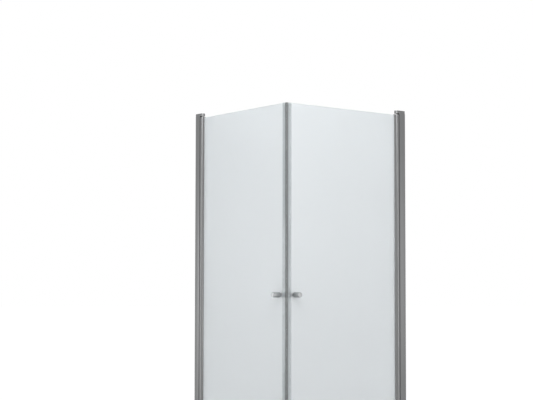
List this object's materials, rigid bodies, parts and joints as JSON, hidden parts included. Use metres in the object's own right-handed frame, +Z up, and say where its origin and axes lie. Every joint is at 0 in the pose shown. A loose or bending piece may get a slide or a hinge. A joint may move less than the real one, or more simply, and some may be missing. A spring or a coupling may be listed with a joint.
{
  "type": "corner shower door",
  "caption": "Corner-entry shower enclosure: two straight frosted-glass doors, hinged on wall posts, that meet at a magnetic mitred corner.",
  "frame": {"origin": "bottom centre of the whole object's box, on the shower tray; the outer glass faces meet at x = -0.3685, y = -0.3685", "axes": "+X runs along the right-hand door to its wall, +Y along the left-hand door to its wall, +Z up; outside is -Y of the right-hand door and -X of the left-hand one"},
  "size_m": [0.843, 0.843, 2],
  "materials": {
    "satin_aluminium": "satin anodised extrusion",
    "cast_end_cap": "satin silver-grey casting",
    "polished_chrome": "polished",
    "stainless_steel": "turned",
    "frosted_glass": "satin-etched safety glass",
    "clear_plastic": "clear soft extrusion",
    "magnet_rubber": "matt magnetic strip",
    "grey_seal": "matt",
    "white_acetal": "satin moulding",
    "grey_plastic": "satin moulding"
  },
  "bodies": {
    "root": {"right_wall_channel": "satin_aluminium", "right_pivot_post": "satin_aluminium", "right_post_gap_seal": "grey_seal", "right_post_bottom_cap": "cast_end_cap", "right_post_top_cap": "cast_end_cap", "right_bottom_cap_screws": "stainless_steel", "right_top_cap_screws": "stainless_steel", "right_bottom_pivot_pin": "stainless_steel", "right_top_pivot_pin": "stainless_steel", "right_thrust_washer": "white_acetal", "right_lock_screws": "stainless_steel", "right_lock_screw_covers": "grey_plastic", "left_wall_channel": "satin_aluminium", "left_pivot_post": "satin_aluminium", "left_post_gap_seal": "grey_seal", "left_post_bottom_cap": "cast_end_cap", "left_post_top_cap": "cast_end_cap", "left_bottom_cap_screws": "stainless_steel", "left_top_cap_screws": "stainless_steel", "left_bottom_pivot_pin": "stainless_steel", "left_top_pivot_pin": "stainless_steel", "left_thrust_washer": "white_acetal", "left_lock_screws": "stainless_steel", "left_lock_screw_covers": "grey_plastic"},
    "right_door": {"right_hinge_tube": "satin_aluminium", "right_tube_bottom_cap": "cast_end_cap", "right_tube_top_cap": "cast_end_cap", "right_bottom_bush": "white_acetal", "right_top_bush": "white_acetal", "right_glass_pane": "frosted_glass", "right_glass_gasket": "grey_seal", "right_magnet_seal": "clear_plastic", "right_magnet_strip": "magnet_rubber", "right_sweep_seal": "clear_plastic", "right_outer_knob": "polished_chrome", "right_inner_knob": "polished_chrome", "right_knob_stud": "stainless_steel", "right_knob_sleeve": "clear_plastic", "right_knob_washers": "clear_plastic", "right_knob_grub_screw": "stainless_steel"},
    "left_door": {"left_hinge_tube": "satin_aluminium", "left_tube_bottom_cap": "cast_end_cap", "left_tube_top_cap": "cast_end_cap", "left_bottom_bush": "white_acetal", "left_top_bush": "white_acetal", "left_glass_pane": "frosted_glass", "left_glass_gasket": "grey_seal", "left_magnet_seal": "clear_plastic", "left_magnet_strip": "magnet_rubber", "left_sweep_seal": "clear_plastic", "left_outer_knob": "polished_chrome", "left_inner_knob": "polished_chrome", "left_knob_stud": "stainless_steel", "left_knob_sleeve": "clear_plastic", "left_knob_washers": "clear_plastic", "left_knob_grub_screw": "stainless_steel"}
  },
  "joints": [
    {"name": "right_door_hinge", "type": "hinge", "parent": "root", "child": "right_door", "pos_m": [0.372, -0.3655, 0], "axis": [0, 0, 1], "range_deg": [0, 88]},
    {"name": "left_door_hinge", "type": "hinge", "parent": "root", "child": "left_door", "pos_m": [-0.3655, 0.372, 0], "axis": [0, 0, -1], "range_deg": [0, 88]}
  ]
}
